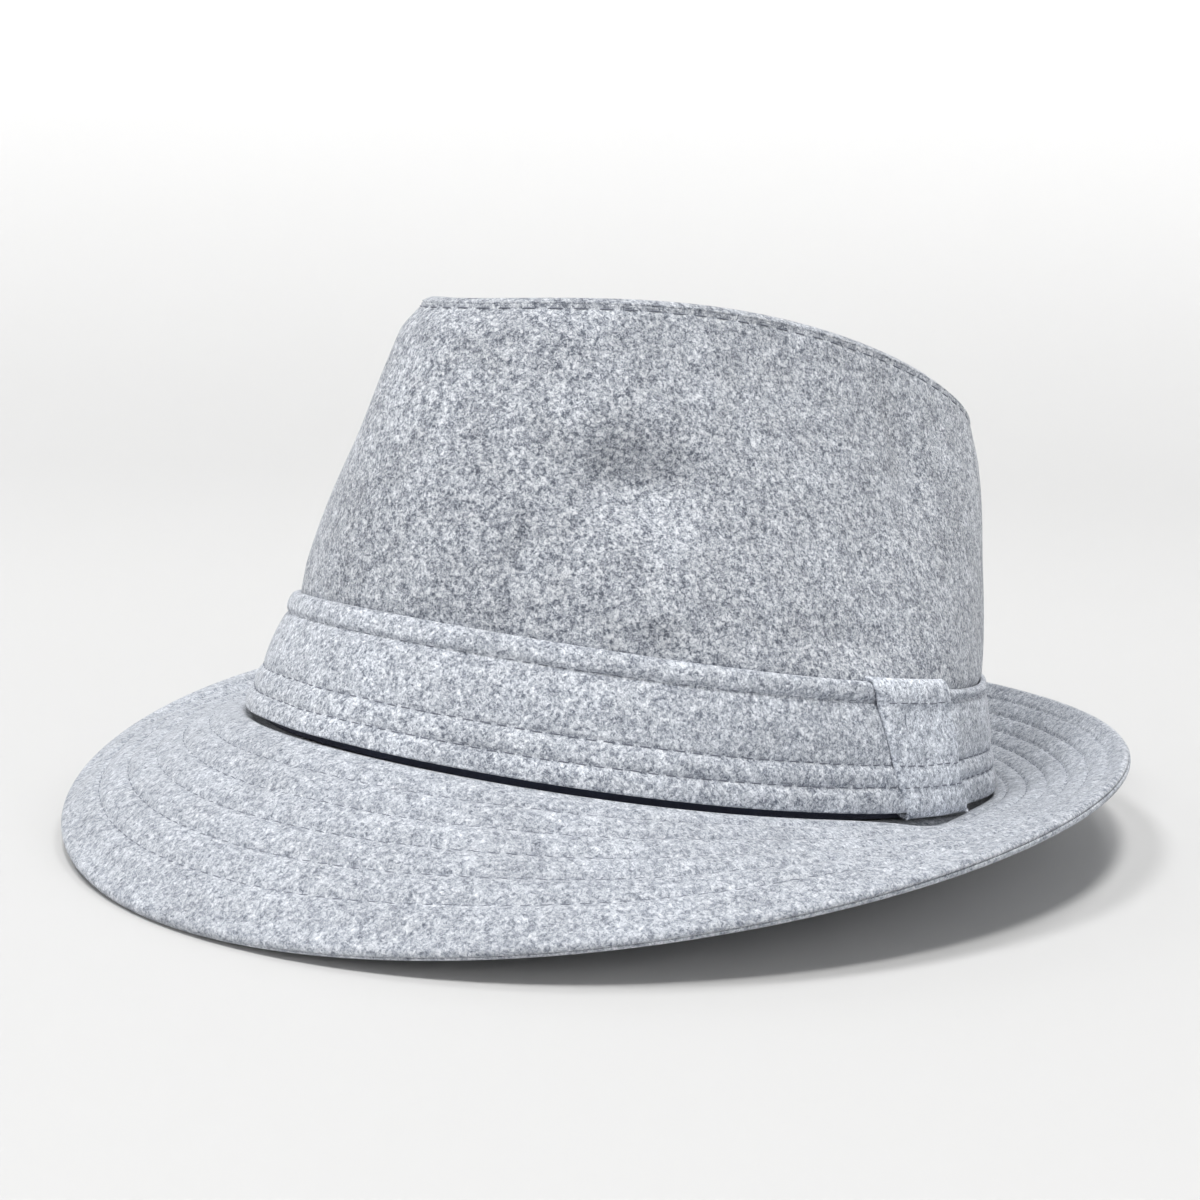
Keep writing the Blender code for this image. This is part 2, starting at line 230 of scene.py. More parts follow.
def ripple(angle, share, seed, around, up, count=9):
    """Seeded soft unevenness, mostly between -1 and 1; around and up are its wave counts."""
    draw = np.random.default_rng(seed)
    total = np.zeros(np.broadcast(angle, share).shape)
    for _ in range(count):
        waves = round(draw.uniform(0.3, 1.0) * around)
        climb = draw.uniform(-1.0, 1.0) * up
        total = total + np.cos(waves * angle + climb * share * TURN + draw.uniform(0, TURN))
    return total / math.sqrt(count)


def points_of(x, y, z):
    """Points from their coordinates, which may be arrays or single numbers."""
    return np.stack(np.broadcast_arrays(x, y, z), axis=-1)


def ellipse(angle, half_length, half_width, shift, height):
    """Points of an oval round the hat, moved back by the shift."""
    return points_of(half_width * np.sin(angle), shift - half_length * np.cos(angle), height)


def outward(angle):
    """Horizontal unit vectors square to the hatband's lower outline."""
    across = BAND_FOOT_HALF_LENGTH * np.sin(angle)
    along = -BAND_FOOT_HALF_WIDTH * np.cos(angle)
    size = np.hypot(across, along)
    return points_of(across / size, along / size, 0.0)


def mix(first, second, share):
    """Points between the first and the second ones."""
    share = np.asarray(share)[..., None]
    return first * (1.0 - share) + second * share


def ridge(angle):
    """The crown's upper edge, narrow in front and full behind, where side and tip are sewn."""
    cosine = np.cos(angle)
    fullness = 1.0 - RIDGE_FRONT_PINCH * cosine + RIDGE_END_FULLNESS * cosine ** 2
    return points_of(RIDGE_HALF_WIDTH * np.sin(angle) * fullness,
                     RIDGE_SHIFT - RIDGE_HALF_LENGTH * cosine,
                     cosine_sum(angle, RIDGE_HEIGHTS))


def crown_smooth(angle, share):
    """The crown's side before its dents: share -1 at the foot, 0 at the neck, 1 at the top."""
    angle, share = np.broadcast_arrays(angle, share)
    saddle = SADDLE * np.cos(2 * angle)
    neck = ellipse(angle, NECK_HALF_LENGTH, NECK_HALF_WIDTH, BAND_TOP_SHIFT,
                   BAND_TOP_HEIGHT + saddle)
    foot = ellipse(angle, FOOT_HALF_LENGTH, FOOT_HALF_WIDTH, 0.0,
                   BRIM_LEVEL + FOOT_CLEARANCE + saddle)
    top = ridge(angle) - np.array([0.0, 0.0, SEAM_LEVEL])
    upper = np.clip(share, 0.0, None)
    bulge = 4.0 * upper * (1.0 - upper) * cosine_sum(angle, WALL_BULGES)
    high = mix(neck, top, upper) + outward(angle) * bulge[..., None]
    low = mix(neck, foot, np.clip(-share, 0.0, None))
    return np.where((share > 0.0)[..., None], high, low)


def crown_side(angle, share):
    """The crown's side with its dents, stitch groove, worn front, back seam and fullness."""
    angle, share = np.broadcast_arrays(angle, share)
    sink = np.zeros(angle.shape)
    for turn, turn_width, level, level_width, depth in CROWN_DENTS:
        across = turn_gap(angle, math.radians(turn)) / math.radians(turn_width)
        sink = sink + depth * np.exp(-across ** 2 - ((share - level) / level_width) ** 2)
    fade = spread(0.0, 0.12, share) * (1.0 - spread(0.80, 0.97, share))
    sink = sink * fade - SIDE_WAVE * ripple(angle, share, 3, 14, 1.6) * fade
    below = (1.0 - share) * WALL_HEIGHT
    pucker = 1.0 + 0.35 * np.cos(angle * SEAM_PUCKERS)
    sink = sink + SEAM_SINK * groove(below - SEAM_STITCH_DROP, 0.6 * MM) * pucker
    sink = sink + front_rounding(angle) * spread(8.0 * MM, 0.0, below)
    behind = turn_gap(angle, math.pi) * NECK_HALF_WIDTH
    sink = sink + BACK_SEAM_SINK * groove(behind, BACK_SEAM_WIDTH)
    lowered = (BAND_TOP_SHARES[0] - band_top_share(angle)) * BAND_SLANT / BAND_TOP_HEIGHT
    over_band = OVER_BAND_BULGE * spread(-0.035, 0.012, share + lowered)
    over_band = over_band * (1.0 - spread(0.0, 0.50, share))
    sink = sink - over_band - SIDE_FULLNESS * hump(share, 0.0, 0.8)
    return crown_smooth(angle, share) - outward(angle) * sink[..., None]


def front_rounding(angle):
    """How far the crown's top edge is worn in round the front."""
    return FRONT_WEAR * spread(1.5, 0.2, np.abs(turn_gap(angle, FRONT_WEAR_ANGLE)))


def tip(angle, share):
    """The tip: share 0 at the ridge's seam, 1 at the crease."""
    angle, share = np.broadcast_arrays(angle, share)
    edge = ridge(angle) - outward(angle) * front_rounding(angle)[..., None]
    crease = ellipse(angle, CREASE_HALF_LENGTH, CREASE_HALF_WIDTH, CREASE_SHIFT, CREASE_HEIGHT)
    found = mix(edge, crease, share)
    sink = share * share * (3.0 - 2.0 * share)
    rise = 4.0 * share * (1.0 - share) * cosine_sum(angle, TIP_RISES)
    level = edge[..., 2] * (1.0 - sink) + CREASE_HEIGHT * sink + rise
    level = level + TIP_EDGE_ROLL * groove(share - 0.065, 0.06)
    level = level + TIP_WAVE * ripple(angle, share, 8, 8, 1.0) * spread(0.05, 0.3, share)
    return points_of(found[..., 0], found[..., 1], level)


def brim_spiral_share(turns):
    """Share of the brim where the stitching is after a number of turns."""
    return SPIRAL_START + (SPIRAL_END - SPIRAL_START) * turns / SPIRAL_TURNS


def brim(angle, share):
    """Upper face of the brim: share 0 under the band's edge, 1 at the brim's edge."""
    angle, share = np.broadcast_arrays(angle, share)
    found = ellipse(angle, BAND_FOOT_HALF_LENGTH, BAND_FOOT_HALF_WIDTH, 0.0,
                    SADDLE * np.cos(2 * angle) + BRIM_LEVEL)
    reach = np.where(share > 0.0, cosine_sum(angle, BRIM_WIDTHS), BRIM_SLANT) * share
    climb = (1.0 - BRIM_LIFT_SHARE) * share + BRIM_LIFT_SHARE * share * share
    climb = np.where(share > 0.0, climb, 0.0)
    lift = (cosine_sum(angle, BRIM_HEIGHTS) - BRIM_LEVEL) * climb
    found = found + outward(angle) * reach[..., None]
    found[..., 2] += lift
    return found


def brim_relief(angle, share):
    """How far the quilted cloth stands off the brim's smooth face."""
    turns = (share - SPIRAL_START) / (SPIRAL_END - SPIRAL_START) * SPIRAL_TURNS
    since = turns - (turn_gap(angle, math.pi) % TURN) / TURN
    nearest = np.abs(since - np.round(since))
    pitch = BRIM_SLANT * (SPIRAL_START - SPIRAL_END) / SPIRAL_TURNS
    sewn = spread(-0.3, 0.0, turns) * (1.0 - spread(SPIRAL_TURNS, SPIRAL_TURNS + 0.5, turns))
    pucker = 1.0 + 0.30 * np.cos(angle * BRIM_PUCKERS)
    row = BRIM_ROW_SINK * groove(nearest * pitch, 0.75 * MM) * pucker * sewn
    return BRIM_PUFF * np.sin(math.pi * nearest) * sewn - row


def brim_rise(angle, share):
    """How far the whole brim stands off its smooth face, towards the band and in soft waves."""
    waved = BRIM_WAVE * ripple(angle, share, 21, 16, 1.2)
    tab_room = 1.0 - 1.6 * groove(turn_gap(angle, TAB_ANGLE), 0.16)
    raised = BRIM_SHOULDER * spread(-0.05, 0.02, share) * (1.0 - spread(0.08, 0.45, share))
    raised = raised * tab_room
    return raised + waved * spread(0.0, 0.4, share)


def band(angle, share):
    """The band's smooth outer face: share 0 at its lower edge, 1 at its upper edge."""
    angle, share = np.broadcast_arrays(angle, share)
    saddle = SADDLE * np.cos(2 * angle)
    foot = ellipse(angle, BAND_FOOT_HALF_LENGTH, BAND_FOOT_HALF_WIDTH, 0.0, saddle)
    top = ellipse(angle, BAND_TOP_HALF_LENGTH, BAND_TOP_HALF_WIDTH, BAND_TOP_SHIFT,
                  BAND_TOP_HEIGHT + saddle)
    return mix(foot, top, share)


def band_top_share(angle):
    """Share where the band's cloth turns over its top edge, lower round the back."""
    behind = spread(math.radians(84.0), math.radians(104.0), np.abs(turn_gap(angle, 0.0)))
    return BAND_TOP_SHARES[0] + (BAND_TOP_SHARES[1] - BAND_TOP_SHARES[0]) * behind


def band_row(name, angle):
    """Height of a stitch row above the band's lower edge; the rows climb towards the back."""
    middle, climb = BAND_ROWS[name]
    return middle - climb * np.cos(angle)


def band_relief(angle, share):
    """How far the band's cloth stands out from its smooth face."""
    height = share * BAND_SLANT
    lower, upper, hem = (band_row(name, angle) for name in ("lower", "upper", "hem"))
    pucker = 1.0 + 0.35 * np.cos(angle * BAND_PUCKERS)
    rows = groove(height - lower, 0.7 * MM) + groove(height - upper, 0.7 * MM)
    hem_row = groove(height - hem, 0.8 * MM)
    lines = (0.0, lower, upper, hem)
    puffs = sum(puff * hump(height, start, end)
                for puff, start, end in zip(BAND_PUFFS, lines, lines[1:]))
    roll = BAND_ROLL * np.sqrt(hump(height, hem, HEM_TOP)) * (1.0 + 0.10 * pucker)
    waved = BAND_WAVE * ripple(angle, share, 33, 22, 0.8) * spread(0.0, 0.1, share + 0.15)
    sunk_rows = BAND_ROW_SINK * rows * pucker
    return MM * (puffs + roll - sunk_rows - BAND_HEM_SINK * hem_row * pucker + waved)


def unit(vectors):
    """The vectors at length 1."""
    return vectors / np.linalg.norm(vectors, axis=-1, keepdims=True)


def frame_of(surface, angle, share, tiny=0.002):
    """Points, outer unit normals and unit directions of growing share on a surface.

    Only the brim's share grows outwards, so its normal is the product turned round.
    """
    along = surface(angle + tiny, share) - surface(angle - tiny, share)
    across = surface(angle, share + tiny) - surface(angle, share - tiny)
    normal = np.cross(along, across) if surface is not brim else np.cross(across, along)
    return surface(angle, share), unit(normal), unit(across)


def grid(angle, share):
    """Angle and share as rows of constant share."""
    return np.meshgrid(angle, share)


def full_turn(steps):
    """Even angles all round, for a closed ring."""
    return np.linspace(0.0, TURN, steps, endpoint=False)


def seamed_turn(steps, gap=0.0015):
    """Angles of a strip whose two ends meet at the back."""
    return np.linspace(-math.pi + gap, math.pi - gap, steps + 1)


def quads(row_count, ring_count, closed, looped):
    """Quads of a grid of rows; closed joins the ring, looped joins the last row to the first."""
    rows = np.arange(row_count if looped else row_count - 1)
    rings = np.arange(ring_count if closed else ring_count - 1)
    row, ring = np.meshgrid(rows, rings, indexing="ij")
    next_row = (row + 1) % row_count
    next_ring = (ring + 1) % ring_count
    corners = (row * ring_count + ring, row * ring_count + next_ring,
               next_row * ring_count + next_ring, next_row * ring_count + ring)
    return np.stack([corner.ravel() for corner in corners], axis=1).tolist()


def crease_strip(first, ring_count):
    """Faces closing the innermost ring across the crease."""
    half = ring_count // 2
    faces = [(first, first + 1, first + ring_count - 1)]
    for here in range(1, half - 1):
        faces.append((first + here, first + here + 1, first + ring_count - here - 1,
                      first + ring_count - here))
    faces.append((first + half - 1, first + half, first + half + 1))
    return faces


def add_piece(hat, name, mesh, material, replaced=()):
    """Lean a finished mesh with the hat, ride it on the hat and hide the CAD parts it stands for.
    """
    mesh.transform(hat)
    mesh.materials.append(material)
    mesh.shade_smooth()
    piece = bpy.data.objects.new(name, mesh)
    bpy.context.scene.collection.objects.link(piece)
    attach(piece, "root")
    if replaced:
        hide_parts(*replaced)
    return piece


def cloth(hat, name, rows, material, replaced=(), thickness=0.0, closed=True,
          looped=False, creased=False):
    """A cloth piece from its grid of points, thickened inwards when it is an open face."""
    row_count, ring_count = rows.shape[:2]
    faces = quads(row_count, ring_count, closed, looped)
    if creased:
        faces += crease_strip((row_count - 1) * ring_count, ring_count)
    mesh = bpy.data.meshes.new(name)
    mesh.from_pydata(rows.reshape(-1, 3).tolist(), [], faces)
    piece = add_piece(hat, name, mesh, material, replaced)
    if thickness:
        solidify = piece.modifiers.new("thickness", "SOLIDIFY")
        solidify.thickness = thickness
        solidify.offset = -1.0
    return piece


def stitch_starts(total, pitch, length, closed):
    """Where along a row each of its stitches starts."""
    count = max(1, round(total / pitch)) if closed else int((total - length) / pitch)
    return np.arange(count) * (total / count if closed else pitch) + 0.3 * (pitch - length)


def stitch_faces(count):
    """Faces of separate capped tubes, STITCH_SPOTS rings long."""
    ring_total = STITCH_SPOTS * THREAD_SIDES
    sides = []
    for row in range(STITCH_SPOTS - 1):
        for here in range(THREAD_SIDES):
            there = (here + 1) % THREAD_SIDES
            low, high = row * THREAD_SIDES, (row + 1) * THREAD_SIDES
            sides.append((low + here, high + here, high + there, low + there))
    first = (np.arange(count) * ring_total)[:, None, None]
    faces = (np.array(sides)[None] + first).reshape(-1, 4).tolist()
    first_cap = np.arange(THREAD_SIDES)
    last_cap = np.arange(ring_total - THREAD_SIDES, ring_total)[::-1]
    for index in range(count):
        faces.append((first_cap + index * ring_total).tolist())
        faces.append((last_cap + index * ring_total).tolist())
    return faces


def stitches(hat, name, path, normals, material, pitch_and_length, replaced=(), closed=True,
             lift=0.05 * MM):
    """Separate stitches laid along a path of points that follows a cloth's face.

    Each one bows up from the cloth by lift and dives into it at both ends. The length of the
    row's name seeds its unevenness.
    """
    pitch, length = pitch_and_length
    steps = np.linalg.norm(np.diff(path, axis=0), axis=1)
    walked = np.concatenate([[0.0], np.cumsum(steps)])
    starts = stitch_starts(walked[-1], pitch, length, closed)
    count = len(starts)
    along = np.linspace(0.0, 1.0, STITCH_SPOTS)
    draw = np.random.default_rng(len(name))
    lengths = length * draw.uniform(0.92, 1.06, count)
    place = starts[:, None] + lengths[:, None] * along[None, :]
    axis = np.stack([np.interp(place, walked, path[:, k]) for k in range(3)], axis=-1)
    up = unit(np.stack([np.interp(place, walked, normals[:, k]) for k in range(3)], axis=-1))
    side = np.cross(unit(np.gradient(axis, axis=1)), up)
    bow = lift - (2.0 * along - 1.0) ** 6 * (THREAD_RADIUS + lift + 0.1 * MM)
    axis = axis + up * bow[None, :, None]
    axis = axis + side * (draw.normal(0.0, 0.06 * MM, count))[:, None, None]
    radius = THREAD_RADIUS * np.array([0.55, 0.9, 1.0, 1.05, 1.0, 0.9, 0.55])
    corner = np.arange(THREAD_SIDES) * TURN / THREAD_SIDES
    rim = (up[:, :, None, :] * np.cos(corner)[None, None, :, None]
           + side[:, :, None, :] * np.sin(corner)[None, None, :, None])
    rings = axis[:, :, None, :] + rim * radius[None, :, None, None]
    mesh = bpy.data.meshes.new(name)
    mesh.from_pydata(rings.reshape(-1, 3).tolist(), [], stitch_faces(count))
    return add_piece(hat, name, mesh, material, replaced)


# ---------------------------------------------------------------- materials

def start_material(name, roughness, sheen=0.0):
    """A Principled material and the tools to wire it."""
    material = bpy.data.materials.new(name)
    material.use_nodes = True
    tree = material.node_tree
    shader = tree.nodes["Principled BSDF"]
    shader.inputs["Roughness"].default_value = roughness
    shader.inputs["Sheen Weight"].default_value = sheen
    shader.inputs["Sheen Roughness"].default_value = 0.5
    shader.inputs["Specular IOR Level"].default_value = 0.25
    place = tree.nodes.new("ShaderNodeTexCoord").outputs["Object"]
    return material, tree, shader, place


def noise(tree, place, scale, detail=2.0, roughness=0.5, distortion=0.0):
    """Value of a noise texture, with its scale in waves a metre."""
    node = tree.nodes.new("ShaderNodeTexNoise")
    node.inputs["Scale"].default_value = scale
    node.inputs["Detail"].default_value = detail
    node.inputs["Roughness"].default_value = roughness
    node.inputs["Distortion"].default_value = distortion
    tree.links.new(place, node.inputs["Vector"])
    return node.outputs["Fac"]


def stretched(tree, place, turn, scale):
    """Coordinates turned and scaled unevenly, for fibres and yarns."""
    node = tree.nodes.new("ShaderNodeMapping")
    node.inputs["Rotation"].default_value = turn
    node.inputs["Scale"].default_value = scale
    tree.links.new(place, node.inputs["Vector"])
    return node.outputs["Vector"]


def calculate(tree, operation, first, second):
    """Result of a Math node on values or plain numbers."""
    node = tree.nodes.new("ShaderNodeMath")
    node.operation = operation
    for socket, value in zip(node.inputs, (first, second)):
        if isinstance(value, (int, float)):
            socket.default_value = value
        else:
            tree.links.new(value, socket)
    return node.outputs["Value"]


def ramp(tree, value, stops):
    """Colour ramp from (position, (r, g, b)) stops."""
    node = tree.nodes.new("ShaderNodeValToRGB")
    elements = node.color_ramp.elements
    while len(elements) < len(stops):
        elements.new(0.5)
    for element, (position, colour) in zip(elements, stops):
        element.position = position
        element.color = (*colour, 1.0)
    tree.links.new(value, node.inputs["Fac"])
    return node.outputs["Color"]


def shade(tree, colour, value, low, high):
    """Colour multiplied by a grey that runs from low to high with value."""
    span = tree.nodes.new("ShaderNodeMapRange")
    span.inputs["From Min"].default_value = 0.3
    span.inputs["From Max"].default_value = 0.7
    span.inputs["To Min"].default_value = low
    span.inputs["To Max"].default_value = high
    tree.links.new(value, span.inputs["Value"])
    node = tree.nodes.new("ShaderNodeVectorMath")
    node.operation = "MULTIPLY"
    tree.links.new(colour, node.inputs[0])
    tree.links.new(span.outputs["Result"], node.inputs[1])
    return node.outputs["Vector"]


def blended(tree, share, colour, other):
    """Colour that gives way to another one as share grows."""
    node = tree.nodes.new("ShaderNodeMix")
    node.data_type = "RGBA"
    sockets = {socket.identifier: socket for socket in node.inputs}
    sockets["B_Color"].default_value = (*other, 1.0)
    tree.links.new(share, sockets["Factor_Float"])
    tree.links.new(colour, sockets["A_Color"])
    return next(socket for socket in node.outputs if socket.identifier == "Result_Color")


def bump(tree, shader, height, strength, distance):
    """Relief of a material from a height value."""
    node = tree.nodes.new("ShaderNodeBump")
    node.inputs["Strength"].default_value = strength
    node.inputs["Distance"].default_value = distance
    tree.links.new(height, node.inputs["Height"])
    tree.links.new(node.outputs["Normal"], shader.inputs["Normal"])


def wool_material(name, painted_light_tone, contrast, hat=None):
    """Heathered grey-blue flannel: tangled light and dark fibres under a soft nap.

    Given the hat's matrix, the crown's cloth is also painted dark navy at its foot. This is
    painted shade for the recess under the band.
    """
    # The tone lightens or darkens a whole copy of the flannel: painted light or painted shade for
    # how its piece is lit
    material, tree, shader, place = start_material(name, 0.95, 0.15)
    flecks = noise(tree, place, 1380.0, 2.0, 0.60, 0.8)
    curls = noise(tree, place, 940.0, 1.0, 0.5, 1.6)
    curls = calculate(tree, "ABSOLUTE", calculate(tree, "SUBTRACT", curls, 0.5), 0.0)
    tufts = noise(tree, place, 520.0, 2.0, 0.55, 0.4)
    blend = calculate(tree, "MULTIPLY", flecks, 0.66)
    blend = calculate(tree, "SUBTRACT", blend, calculate(tree, "MULTIPLY", curls, 0.42))
    blend = calculate(tree, "ADD", blend, calculate(tree, "MULTIPLY", tufts, 0.34))
    blend = calculate(tree, "ADD", blend, WOOL_BALANCE - 0.50)
    blend = calculate(tree, "ADD", calculate(tree, "MULTIPLY", blend, contrast), 0.50)
    colour = ramp(tree, blend, WOOL_COLOURS)
    clumps = noise(tree, place, 130.0, 2.0, 0.5)
    colour = shade(tree, colour, clumps, 1.0 - 0.10 * contrast, 1.0 + 0.07 * contrast)
    clouds = noise(tree, place, 38.0, 2.0, 0.5)
    # Cloudy mottling of the wool, times the copy's tone: painted light on the band and tab,
    # painted shade on the crown
    colour = shade(tree, colour, clouds, 0.93 * painted_light_tone, 1.06 * painted_light_tone)
    if hat:
        upright = tree.nodes.new("ShaderNodeMapping")
        upright.inputs["Location"].default_value = hat.inverted().to_translation()
        upright.inputs["Rotation"].default_value = hat.inverted().to_euler()
        tree.links.new(place, upright.inputs["Vector"])
        axes = tree.nodes.new("ShaderNodeSeparateXYZ")
        tree.links.new(upright.outputs["Vector"], axes.inputs["Vector"])
        # Painted shade: the crown's cloth turns dark navy low down, in the recess under the band
        painted_shade = calculate(tree, "LESS_THAN", axes.outputs["Z"], CROWN_PAINTED_SHADE_TOP)
        colour = blended(tree, painted_shade, colour, PAINTED_SHADE_NAVY)
    tree.links.new(colour, shader.inputs["Base Color"])
    bump(tree, shader, blend, 0.40, 0.0006)
    return material


def thread_material():
    """Slate-blue sewing thread with its twist."""
    material, tree, shader, place = start_material("slate_thread", 0.65, 0.1)
    twist = noise(tree, stretched(tree, place, (0.5, 0.2, 0.7), (5200, 1500, 5200)), 1.0)
    colour = ramp(tree, twist, ((0.35, (0.095, 0.105, 0.135)), (0.65, (0.190, 0.205, 0.245))))
    tree.links.new(colour, shader.inputs["Base Color"])
    bump(tree, shader, twist, 0.5, 0.0001)
    return material


def twill_material():
    """Black cotton twill of the sweatband, with its slanting ribs."""
    material, tree, shader, place = start_material("sweatband_twill", 0.8, 0.15)
    wave = tree.nodes.new("ShaderNodeTexWave")
    wave.inputs["Scale"].default_value = 420.0
    wave.inputs["Distortion"].default_value = 0.8
    wave.inputs["Detail"].default_value = 1.0
    tree.links.new(stretched(tree, place, (0.5, 0.6, 0.8), (1, 1, 1)), wave.inputs["Vector"])
    flecks = noise(tree, place, 1400.0, 2.0)
    ribs = calculate(tree, "ADD", calculate(tree, "MULTIPLY", wave.outputs["Fac"], 0.6),
                     calculate(tree, "MULTIPLY", flecks, 0.4))
    colour = ramp(tree, ribs, ((0.25, (0.010, 0.011, 0.014)), (0.75, (0.050, 0.052, 0.060))))
    tree.links.new(colour, shader.inputs["Base Color"])
    bump(tree, shader, ribs, 0.5, 0.0003)
    return material


def lining_material():
    """Dark satin, with fine slubs that run up the hat."""
    material, tree, shader, place = start_material("lining_satin", 0.38, 0.2)
    slubs = noise(tree, stretched(tree, place, (0, 0, 0), (2400, 2400, 140)), 1.0, 2.0)
    colour = ramp(tree, slubs, ((0.3, (0.055, 0.060, 0.075)), (0.7, (0.115, 0.125, 0.150))))
    tree.links.new(colour, shader.inputs["Base Color"])
    bump(tree, shader, slubs, 0.25, 0.0002)
    return material


def felt_material():
    """Off-white fused stiffening, a matted web of fibres."""
    material, tree, shader, place = start_material("stiffener_web", 0.9, 0.1)
    web = noise(tree, place, 700.0, 4.0, 0.6, 1.5)
    colour = ramp(tree, web, ((0.35, (0.52, 0.51, 0.47)), (0.65, (0.78, 0.77, 0.73))))
    tree.links.new(colour, shader.inputs["Base Color"])
    bump(tree, shader, web, 0.5, 0.0003)
    return material


def floor_material():
    """Matt pale paper, paler where it sweeps up so that the backdrop looks even."""
    material, tree, shader, place = start_material("pale_floor", 0.9)
    axes = tree.nodes.new("ShaderNodeSeparateXYZ")
    tree.links.new(place, axes.inputs["Vector"])
    height = calculate(tree, "ADD", axes.outputs["Z"],
                       calculate(tree, "MULTIPLY", noise(tree, place, 3.0, 2.0), 0.02))
    colour = ramp(tree, height, ((0.02, (0.56, 0.56, 0.56)), (0.9, (0.93, 0.93, 0.93))))
    tree.links.new(colour, shader.inputs["Base Color"])
    return material


# ---------------------------------------------------------------- pieces

def sunk(surface, angle, share, depth):
    """Rows of a surface moved inwards by a depth."""
    angles, shares = grid(angle, share)
    points, normals, _ = frame_of(surface, angles, shares)
    return points - normals * np.asarray(depth)[..., None]


def build_crown(hat, looks):
    """The wool of the crown's side and tip, and the topstitching under their seam."""
    angle = seamed_turn(480)
    low = np.linspace(-1.03, 0.0, 8)
    middle = np.linspace(0.0, 0.93, 62)[1:]
    high = np.linspace(0.93, 1.0, 24)[1:]
    share = np.concatenate([low, middle, high])
    angles, shares = grid(angle, share)
    cloth(hat, "crown_side_cloth", crown_side(angles, shares), looks["crown"],
          ("crown_side",), WOOL_THICKNESS, closed=False)
    angle = full_turn(480)
    share = np.concatenate([np.linspace(0.0, 0.10, 18), np.linspace(0.10, 0.96, 44)[1:]])
    angles, shares = grid(angle, share)
    cloth(hat, "crown_tip_cloth", tip(angles, shares), looks["crown"], ("crown_tip",),
          WOOL_THICKNESS, creased=True)
    row = np.append(full_turn(1400), TURN)
    path, normals, _ = frame_of(crown_side, row, 1.0 - SEAM_STITCH_DROP / WALL_HEIGHT)
    stitches(hat, "crown_tip_stitches", path, normals, looks["thread"], LONG_STITCH,
             ("crown_tip_topstitch",), lift=0.12 * MM)


def build_inner_crown(hat, looks):
    """The stiffening and the lining behind the crown's side and tip."""
    behind = WOOL_THICKNESS + CLOTH_GAP
    angle, share = seamed_turn(180), np.linspace(-0.97, 0.97, 24)
    cloth(hat, "crown_side_stiffening", sunk(crown_side, angle, share, behind), looks["felt"],
          ("crown_side_interlining",), STIFFENING_THICKNESS, closed=False)
    angle, share = full_turn(180), np.linspace(0.07, 0.92, 16)
    cloth(hat, "crown_tip_stiffening", sunk(tip, angle, share, behind), looks["felt"],
          ("crown_tip_interlining",), STIFFENING_THICKNESS, creased=True)
    angle, share = seamed_turn(240), np.linspace(-0.10, 0.94, 40)
    angles, shares = grid(angle, share)
    sewn, free, rippled = LINING_DEPTHS
    depth = (sewn + free * spread(0.02, 0.22, shares)
             + rippled * ripple(angles, shares, 5, 40, 0.6) * spread(0.02, 0.35, shares)) * MM
    cloth(hat, "lining_side_satin", sunk(crown_side, angle, share, depth), looks["lining"],
          ("lining_side",), 0.2 * MM, closed=False)
    angle, share = full_turn(200), np.linspace(0.13, 0.92, 24)
    angles, shares = grid(angle, share)
    free, rippled = TIP_LINING_DEPTHS
    depth = (free + rippled * ripple(angles, shares, 6, 20, 1.0)) * MM
    cloth(hat, "lining_tip_satin", sunk(tip, angle, share, depth), looks["lining"],
          ("lining_tip",), 0.3 * MM, creased=True)


def sweatband_face(angle, share):
    """The sweatband's outer face: share 0 at its lower edge, 1 at its upper edge."""
    return crown_smooth(angle, -1.04 + 1.05 * share)


def build_sweatband(hat, looks):
    """The twill band inside the head opening, the tape on its seam, and their stitches."""
    angle = full_turn(300)
    share = np.linspace(0.0, 1.0, 22)
    angles, shares = grid(angle, share)
    wave = SWEATBAND_WAVE * ripple(angles, shares, 9, 30, 0.5) * spread(0.4, 1.0, shares)
    depth = (SWEATBAND_DEPTH + wave) * MM
    cloth(hat, "sweatband_cloth", sunk(sweatband_face, angle, share, depth), looks["twill"],
          ("sweatband",), SWEATBAND_THICKNESS)
    share = np.linspace(0.03, 0.30, 10)
    cloth(hat, "sweatband_seam_tape", sunk(sweatband_face, angle, share, TAPE_DEPTH),
          looks["twill"], ("sweatband_tape",), 0.5 * MM)
    row = np.append(full_turn(900), TURN)
    for name, (level, depth) in SWEATBAND_ROWS.items():
        points, normals, _ = frame_of(sweatband_face, row, np.full(row.shape, level))
        stitches(hat, name, points - normals * depth, -normals, looks["thread"], SHORT_STITCH)


def brim_face(angle, share, flip):
    """Points, normals and outward directions of the quilted brim: flip -1 gives the underside."""
    points, normals, across = frame_of(brim, angle, share)
    fade = 1.0 - spread(0.93, 1.0, share)
    relief = brim_relief(angle, share) * fade
    points = points + normals * (brim_rise(angle, share) * fade)[..., None]
    if flip > 0:
        return points + normals * relief[..., None], normals, across
    under = points - normals * (BRIM_THICKNESS + 0.7 * relief)[..., None]
    return under, -normals, across


def brim_rows(angle, flip):
    """Rows of one brim cloth, from under the crown to the seam in the middle of the edge."""
    inner = np.linspace(-BRIM_TUCK / BRIM_SLANT, 0.0, 6)
    row_count = 104 if flip > 0 else 72
    share = np.concatenate([inner, np.linspace(0.0, 1.0, row_count)[1:]])
    angles, shares = grid(angle, share)
    points, normals, across = brim_face(angles, shares, flip)
    edge, square, out = points[-1], normals[-1], across[-1]
    radius = BRIM_THICKNESS / 2
    rounding = []
    for turn in np.radians((12, 24, 36, 48, 60, 70, 78, 84, 88)):
        seam = BRIM_SEAM_SINK * groove(math.degrees(math.pi / 2 - turn), 11.0)
        rounding.append(edge - square * (radius * (1.0 - math.cos(turn)))
                        + out * (radius * math.sin(turn) - seam))
    rows = np.concatenate([points, np.array(rounding)])
    return rows[::-1] if flip > 0 else rows


